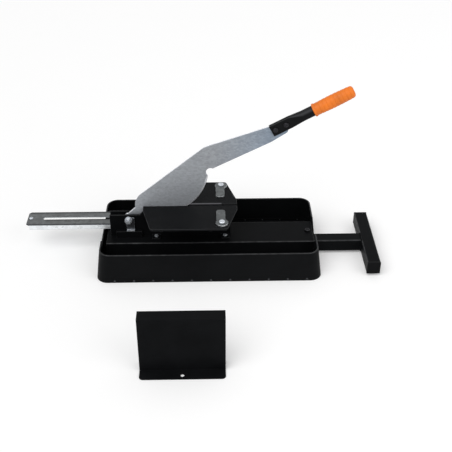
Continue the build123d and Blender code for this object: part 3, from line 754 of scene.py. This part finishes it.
class CUTTER_OT_tray(bpy.types.Operator):
    """Moulded tray with a rounded rim, its floor pan and the rivets along its foot"""

    bl_idname = "cutter.tray"
    bl_label = "Tray"

    def execute(self, context):
        rim_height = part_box("base_wall")[1].z
        rim = (lambda middle, along: near(middle.z, rim_height), sizes().rim)
        finished("tray_wall", "base_wall", [tray_plastic(), rubbed_edge()], folds=[rim])
        finished("tray_pan", "floor_pan", [powder_coat("pan_coat", lift=0.9)])
        finished("tray_rivets", "pan_rivets", [dull_zinc()], edge=0.0003, steps=3)
        return {"FINISHED"}


class CUTTER_OT_frame(bpy.types.Operator):
    """Folded beam, blade channel and ledge, with their bolts"""

    bl_idname = "cutter.frame"
    bl_label = "Beam and channel"

    def execute(self, context):
        coats = [powder_coat("frame_coat"), rubbed_edge()]
        top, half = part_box("main_beam")[1].z, sizes().beam_half
        beam_fold = (lambda middle, along: near(middle.z, top) and near(abs(middle.y), half), sizes().fold)
        strips = (top, sizes().beam_strip, ((-half, 1), (half, -1)))
        finished("beam", "main_beam", coats, folds=[beam_fold], clear=strips)
        finished("channel", "blade_channel", coats)
        finished("ledge", "channel_ledge", coats)
        plated("beam_bolts", edge=0.0006)
        plated("frame_bolts", edge=0.0006)
        return {"FINISHED"}


class CUTTER_OT_table(bpy.types.Operator):
    """Two table plates on their gussets, and the counter blade with its screws"""

    bl_idname = "cutter.table"
    bl_label = "Table"

    def execute(self, context):
        coat, rib_coat = powder_coat("table_coat", lift=1.15, speckle=0.55), powder_coat("frame_coat")
        welds = bmesh.new()
        for side in ("front", "back"):
            finished(side + "_plate", side + "_table", [coat, rubbed_edge()], edge=0.0007)
            for end in ("left", "right"):
                rib = f"{side}_gusset_{end}"
                finished(f"{side}_rib_{end}", rib, [rib_coat, rubbed_edge()])
                low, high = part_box(rib)
                root, tip = (high.y, low.y) if side == "front" else (low.y, high.y)
                for x in (low.x, high.x):
                    self.weld_rib(welds, x, root, tip - root, low.z, high.z)
        add_piece("table_welds", welds, "base", "black_paint", [rib_coat], crease=60.0)
        finished("lower_edge", "counter_blade", [tool_steel()], edge=0.0002)
        finished("lower_edge_screws", "counter_screws", [bright_zinc()], edge=0.0004)
        return {"FINISHED"}

    def weld_rib(self, welds, x, root, reach, bottom, top):
        """Beads on one face of a gusset: one up its root and two along its top."""
        root_bead, top_starts, top_length = (0.010, 0.032), (0.16, 0.62), 0.22
        weld_bead(welds, *((x, root, bottom + height) for height in root_bead))
        for share in top_starts:
            weld_bead(welds, (x, root + share * reach, top), (x, root + (share + top_length) * reach, top))


class CUTTER_OT_stops(bpy.types.Operator):
    """Swivelling stop plates with their dome bolts and nuts"""

    bl_idname = "cutter.stops"
    bl_label = "Stops"

    def execute(self, context):
        for side, node in (("near", "front_stop"), ("far", "back_stop")):
            finished(side + "_stop_plate", node, [galvanised_sheet()], edge=0.0009, steps=3)
        finished("stop_dome_bolts", "stop_bolts", [bright_zinc()], edge=0.0004)
        finished("stop_locknuts", "stop_nuts", [bright_zinc()], edge=0.0006)
        return {"FINISHED"}


class CUTTER_OT_blade(bpy.types.Operator):
    """Blade plate with its cutting edge ground from the front, and the bush in its eye"""

    bl_idname = "cutter.blade"
    bl_label = "Blade"

    def execute(self, context):
        bm = solid_copy("blade")
        wanted = sizes()
        pivot = Vector(wanted.pivot).xz
        points = (wanted.edge_tip, wanted.edge_belly, wanted.edge_bend, wanted.edge_low, wanted.edge_heel)
        tip, belly, bend, low, heel = (pivot + Vector(point) for point in points)
        round_part, long_part = arc_through(tip, belly, bend), arc_through(bend, low, heel)
        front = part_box("blade")[0].y
        skin, arc_reach, strip_reach, corner_merge, least_edges = 0.0001, 0.0006, 0.0003, 0.00005, 8

        def arc_at(place):
            return round_part if place.x > bend.x else long_part

        def on_cutting_edge(middle, along):
            centre, radius = arc_at(middle)
            on_arc = near((middle.xz - centre).length, radius, arc_reach) and middle.z < centre.y
            return on_arc and middle.x > heel.x and near(middle.y, front, skin) and abs(along.y) < 0.1

        for face in bm.faces:
            if abs(face.normal.y) < 0.5:
                face.material_index = 1
        cut = sharp_edges(bm, on_cutting_edge)
        if len(cut) < least_edges:
            raise RuntimeError("the blade's cutting edge was not found")
        strip = round_off(bm, cut, wanted.ground_depth, steps=1, clamp=False)
        for vertex in {vertex for face in strip for vertex in face.verts}:
            centre, radius = arc_at(vertex.co)
            arm = vertex.co.xz - centre
            if near(vertex.co.y, front, skin) and near(arm.length, radius - wanted.ground_depth, strip_reach):
                vertex.co.x, vertex.co.z = centre + arm.normalized() * (radius - wanted.ground_width)
        for face in strip:
            face.material_index = 1
        bmesh.ops.remove_doubles(bm, verts=bm.verts, dist=corner_merge)
        replace_solid("blade_body", "blade", bm, [blade_plate(), ground_steel()], edge=0.0003, crease=50.0)
        finished("eye_bush", "pivot_bush", [bush_bronze()], edge=0.0003)
        return {"FINISHED"}


class CUTTER_OT_pivot(bpy.types.Operator):
    """Pivot bolt, nut, washer, spacers and strap, and the rubber buffer under the arm"""

    bl_idname = "cutter.pivot"
    bl_label = "Pivot and buffer"

    def execute(self, context):
        plated("pivot_bolt", edge=0.0007)
        plated("pivot_nut", edge=0.0011, steps=3)
        plated("pivot_washer", edge=0.0004)
        plated("pivot_spacers", edge=0.0003)
        strap = solid_copy("pivot_strap")
        # Painted light: the strap's upright faces are painted dark as a reflection of the tray, its lip
        # painted bright as a highlight.
        lip_height = 0.004
        lip_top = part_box("pivot_strap")[0].z + lip_height
        for face in strap.faces:
            if face.normal.z > 0.7 and face.calc_center_median().z < lip_top:
                face.material_index = 1
        replace_solid("pivot_strap_plated", "pivot_strap", strap, [dull_zinc(), bright_zinc()], edge=0.0004)
        finished("buffer_rubber", "lower_buffer", [pad_rubber()], edge=0.0012, steps=4)
        plated("buffer_bolt", edge=0.0005)
        plated("buffer_nut", edge=0.0006)
        return {"FINISHED"}


class CUTTER_OT_handle(bpy.types.Operator):
    """Tube flattened at the blade, with its two bolts and nuts"""

    bl_idname = "cutter.handle"
    bl_label = "Handle"

    def execute(self, context):
        # The handle's coat carries a painted sheen along its upper faces.
        coat = powder_coat("handle_coat", lift=1.1, gloss=0.08, sheen=0.9)
        axis = handle_frame().col[2].to_3d()
        flat_end = min(vertex.co.dot(axis) for vertex in frame["nodes"]["handle_tube"].data.vertices)
        skin, end_radius = 0.00005, 0.0006
        end_outline = (lambda middle, along: near(middle.dot(axis), flat_end, skin), end_radius)
        finished("handle", "handle_tube", [coat], edge=0.0, folds=[end_outline], crease=35.0)
        with_recess(
            "handle_socket_bolts", "handle_bolts", blackened_steel(), (0, -1, 0), least=0.00004, rim=0.0026,
            depth=0.0018, edge=0.0005)
        finished("handle_locknuts", "handle_nuts", [blackened_steel()], edge=0.0006)
        return {"FINISHED"}


class CUTTER_OT_grip(bpy.types.Operator):
    """Orange sleeve with a flange, a slight swell and shallow ring grooves"""

    bl_idname = "cutter.grip"
    bl_label = "Grip"

    def execute(self, context):
        wanted = sizes()
        start, end = wanted.grip_start, wanted.grip_end
        bore, flange, barrel = wanted.grip_bore, wanted.grip_flange, wanted.grip_barrel
        bottom, shoulder, crown = end - 0.0075, start + 0.0082, end - 0.010
        outline = [(0.0, bottom), (bore, bottom), (bore, start), (flange - 0.0014, start)]
        outline += [(flange - 0.0004, start + 0.0005), (flange, start + 0.0016), (flange, start + 0.0042)]
        outline += [(flange - 0.0005, start + 0.0054), (flange - 0.0016, start + 0.0064)]
        outline.append((barrel + 0.0002, shoulder))
        grooves, sunk = 9, 0.0007
        for groove in range(grooves):
            for part, sink in ((0.14, 0.0), (0.74, 0.0), (0.84, sunk), (0.90, sunk), (1.0, 0.0)):
                share = (groove + part) / grooves
                radius = barrel + wanted.grip_swell * sin(pi * share) - sink
                outline.append((radius, shoulder + (crown - shoulder) * share))
        outline += [(barrel - 0.0006, end - 0.0055), (barrel - 0.0025, end - 0.0022)]
        outline += [(barrel - 0.0058, end - 0.0005), (barrel - 0.0095, end), (0.0, end)]
        bm = lathe(outline)
        bmesh.ops.transform(bm, matrix=handle_frame(), verts=bm.verts)
        replace_solid("grip_sleeve", "grip", bm, [grip_rubber()], crease=50.0)
        return {"FINISHED"}


class CUTTER_OT_rail(bpy.types.Operator):
    """Slotted galvanised rail with its end screw, guide and clamp"""

    bl_idname = "cutter.rail"
    bl_label = "Rail"

    def execute(self, context):
        low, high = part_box("rail")

        def top_outline(middle, along):
            beside = min(middle.y - low.y, high.y - middle.y) < sizes().rail_corner
            right_end = near(middle.x, high.x)
            return near(middle.z, high.z) and (beside or near(middle.x, low.x)) and not right_end

        sides = (low.y, high.y)
        # Painted shade: darker lines along the rail's folds and beside the near edge of its slot.
        folded = ((0.0, 0.34), (0.05, 0.38), (0.10, 0.92), (0.85, 0.95), (0.89, 0.30), (1.0, 0.22))
        slotted = ((0.0, 1.0), (0.30, 0.95), (0.35, 0.36), (0.43, 0.26), (0.57, 1.0))
        shade_lines = ((sides, folded), (sides, slotted, low.x + sizes().rail_slot_start))
        sheet = galvanised_sheet("rail_sheet", metallic=0.55, shade_lines=shade_lines)
        strips = (high.z, sizes().rail_strip, ((low.y, 1), (high.y, -1)))
        fold = (top_outline, sizes().rail_fold)
        # The dark zinc on the rail's folds and cut edges is painted shade.
        finished("rail_channel", "rail", [sheet, bent_zinc()], edge=0.0005, folds=[fold], clear=strips)
        with_recess(
            "rail_screw", "rail_end_screw", bright_zinc(), (0, 0, 1), least=0.00002, rim=0.0018,
            depth=0.0014, edge=0.0003)
        finished("rail_slide_block", "rail_guide", [guide_nylon()], edge=0.0008)
        finished("rail_block_screws", "guide_screws", [bright_zinc()], edge=0.0005)
        plated("clamp_stud", edge=0.0006)
        plated("clamp_washer", edge=0.0004)
        plated("clamp_nut", edge=0.0009, steps=3)
        self.stud_thread(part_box("clamp_nut")[1].z, *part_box("clamp_stud"))
        return {"FINISHED"}

    def stud_thread(self, nut_top, low, high):
        """Thread on the stud above the clamp nut, where enough of the stud shows."""
        least, stud_radius, chamfer = 0.003, 0.0040, 0.0006
        if high.z - nut_top > least:
            middle = (low + high) / 2
            length = high.z - nut_top - chamfer
            helix = thread((middle.x, middle.y, nut_top), stud_radius, length, sizes().thread_pitch)
            add_piece("clamp_thread", helix, "base", "zinc", [bright_zinc()])


class CUTTER_OT_foot(bpy.types.Operator):
    """Pull-out T foot of square tube with its weld, caps, pads, guides and lock screw"""

    bl_idname = "cutter.foot"
    bl_label = "T foot"

    def execute(self, context):
        coat = powder_coat("foot_coat", lift=1.15)
        for name, node, axis in (("stem_tube", "foot_stem", 0), ("crossbar_tube", "foot_crossbar", 1)):
            low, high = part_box(node)

            def tube_corner(middle, along, low=low, high=high, axis=axis):
                across = [k for k in range(3) if k != axis]
                outside = all(near(middle[k], low[k]) or near(middle[k], high[k]) for k in across)
                return outside and abs(along[axis]) > PARALLEL

            corners = (tube_corner, sizes().tube_corner)
            finished(name, node, [coat, rubbed_edge()], edge=0.0004, folds=[corners])
        bead = bmesh.new()
        low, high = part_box("foot_stem")
        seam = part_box("foot_crossbar")[0].x
        inset = 0.002
        for y in (low.y, high.y):
            weld_bead(bead, (seam, y, low.z + inset), (seam, y, high.z - inset))
        for z in (low.z, high.z):
            weld_bead(bead, (seam, low.y + inset, z), (seam, high.y - inset, z))
        add_piece("foot_weld", bead, "foot_bar", "black_paint", [coat], crease=60.0)
        finished("tube_caps", "crossbar_caps", [tray_plastic()], edge=0.0006, steps=3)
        finished("foot_pad_rubber", "foot_pads", [pad_rubber()], edge=0.0012, steps=3)
        finished("stem_pin", "stem_stop_pin", [bright_zinc()], edge=0.0004)
        for place in ("inner", "outer"):
            finished(place + "_guide_block", place + "_stem_guide", [guide_nylon()], edge=0.0006)
        with_recess(
            "lock_screw", "stem_lock_screw", blackened_steel(), (0, 0, 1), least=0.00003, rim=0.0022,
            depth=0.0020, edge=0.0005)
        return {"FINISHED"}


class CUTTER_OT_stand(bpy.types.Operator):
    """Separate support stand folded from sheet"""

    bl_idname = "cutter.stand"
    bl_label = "Support stand"

    def execute(self, context):
        low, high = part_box("support_stand")
        face = sizes().stand_face

        def face_fold(middle, along):
            top = near(middle.z, high.z) and abs(along.x) > PARALLEL
            side = abs(along.z) > PARALLEL and (near(middle.x, low.x) or near(middle.x, high.x))
            return near(middle.y, face) and (top or side)

        coat, fold = powder_coat("stand_coat", lift=1.2), (face_fold, sizes().fold)
        finished("stand_sheet", "support_stand", [coat], edge=0.0004, folds=[fold])
        return {"FINISHED"}


class CUTTER_OT_stage(bpy.types.Operator):
    """Pale floor, soft light and the camera"""

    bl_idname = "cutter.stage"
    bl_label = "Stage"

    def execute(self, context):
        stage = context.scene.cutter_stage
        self.floor(stage)
        main = bpy.data.lights.new("main lamp", "SUN")
        main.energy = stage.key_strength
        main.angle = radians(50.0)
        self.hang("main lamp", main, (-1.5, -1.9, 3.2))
        fill = bpy.data.lights.new("fill lamp", "AREA")
        fill.shape = "SQUARE"
        fill.size = 2.4
        fill.energy = stage.fill_power
        self.hang("fill lamp", fill, (2.3, -1.9, 2.0))
        self.sky(stage)
        camera = bpy.data.cameras.new("camera")
        camera.lens = stage.lens
        camera.sensor_width = 36.0
        camera.clip_end = 100.0
        eye = bpy.data.objects.new("camera", camera)
        eye.location = stage.eye
        eye.rotation_euler = (pi / 2 - stage.down, 0.0, -stage.aside)
        context.scene.collection.objects.link(eye)
        context.scene.camera = eye
        context.scene.view_settings.view_transform = "Standard"
        return {"FINISHED"}

    def floor(self, stage):
        """Pale paper just under the cutter."""
        drop = 0.0003
        bm = bmesh.new()
        bmesh.ops.create_grid(bm, x_segments=8, y_segments=8, size=stage.floor_side / 2)
        bmesh.ops.translate(bm, verts=bm.verts, vec=(0, 0, -drop))
        mesh = bpy.data.meshes.new("floor")
        bm.to_mesh(mesh)
        bm.free()
        colour = stage.floor_colour
        paper, tree = start_finish("floor_paper", colour, 0.9, gloss=0.0)
        shader = tree.nodes["Principled BSDF"]
        tone = cloud(pattern_space(tree), 3.0, detail=3.0)
        pale = shades(tone, (0.3, tinted(colour, 0.995)), (0.7, colour))
        tree.links.new(pale, shader.inputs["Base Color"])
        shader.inputs["Emission Color"].default_value = (1.0, 1.0, 1.0, 1.0)
        glow = spread(self.seen_rays(tree), 0.0, stage.floor_glow)
        tree.links.new(glow, shader.inputs["Emission Strength"])
        mesh.materials.append(paper)
        floor = bpy.data.objects.new("floor", mesh)
        bpy.context.scene.collection.objects.link(floor)

    def hang(self, name, light, place):
        """Hangs a lamp so that it shines on the middle of the cutter."""
        target = Vector((0.0, -0.1, 0.1))
        lamp = bpy.data.objects.new(name, light)
        lamp.location = place
        lamp.rotation_euler = (target - Vector(place)).to_track_quat("-Z", "Y").to_euler()
        bpy.context.scene.collection.objects.link(lamp)

    def seen_rays(self, tree):
        """1 for what is seen straight, in a reflection or through glass, and 0 for scattered light."""
        path = add_node(tree, "ShaderNodeLightPath")
        either = {0: path["Is Camera Ray"], 1: path["Is Glossy Ray"]}
        all_seen = {
            0: add_node(tree, "ShaderNodeMath", either, operation="MAXIMUM")["Value"],
            1: path["Is Transmission Ray"]}
        return add_node(tree, "ShaderNodeMath", all_seen, operation="MAXIMUM")["Value"]

    def sky(self, stage):
        """Even light from all sides, and white where it is seen."""
        world = bpy.data.worlds.new("studio")
        bpy.context.scene.world = world
        world.use_nodes = True
        tree = world.node_tree
        background = tree.nodes["Background"]
        background.inputs["Color"].default_value = (1.0, 1.0, 1.0, 1.0)
        tree.links.new(spread(self.seen_rays(tree), stage.sky, 1.0), background.inputs["Strength"])


steps = (
    CUTTER_OT_tray, CUTTER_OT_frame, CUTTER_OT_table, CUTTER_OT_stops, CUTTER_OT_blade, CUTTER_OT_pivot,
    CUTTER_OT_handle, CUTTER_OT_grip, CUTTER_OT_rail, CUTTER_OT_foot, CUTTER_OT_stand, CUTTER_OT_stage)


class CUTTER_PT_panel(bpy.types.Panel):
    """Lists the steps that finish the cutter"""

    bl_idname = "CUTTER_PT_panel"
    bl_label = "Flooring cutter"
    bl_space_type = "VIEW_3D"
    bl_region_type = "UI"
    bl_category = "Cutter"

    def draw(self, context):
        for step in steps:
            self.layout.operator(step.bl_idname)


groups = (CutterSizes, CutterColours, StageSettings)


def register():
    """Registers the settings, the steps and the panel."""
    for entry in groups + steps + (CUTTER_PT_panel,):
        bpy.utils.register_class(entry)
    bpy.types.Scene.cutter_sizes = PointerProperty(type=CutterSizes)
    bpy.types.Scene.cutter_colours = PointerProperty(type=CutterColours)
    bpy.types.Scene.cutter_stage = PointerProperty(type=StageSettings)


def unregister():
    """Takes the settings, the steps and the panel out again."""
    del bpy.types.Scene.cutter_stage
    del bpy.types.Scene.cutter_colours
    del bpy.types.Scene.cutter_sizes
    for entry in reversed(groups + steps + (CUTTER_PT_panel,)):
        bpy.utils.unregister_class(entry)


def main():
    """Finishes the cutter step by step."""
    register()
    bpy.ops.cutter.tray()
    bpy.ops.cutter.frame()
    bpy.ops.cutter.table()
    bpy.ops.cutter.stops()
    bpy.ops.cutter.blade()
    bpy.ops.cutter.pivot()
    bpy.ops.cutter.handle()
    bpy.ops.cutter.grip()
    bpy.ops.cutter.rail()
    bpy.ops.cutter.foot()
    bpy.ops.cutter.stand()
    bpy.ops.cutter.stage()
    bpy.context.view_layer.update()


if __name__ == "__main__":
    main()
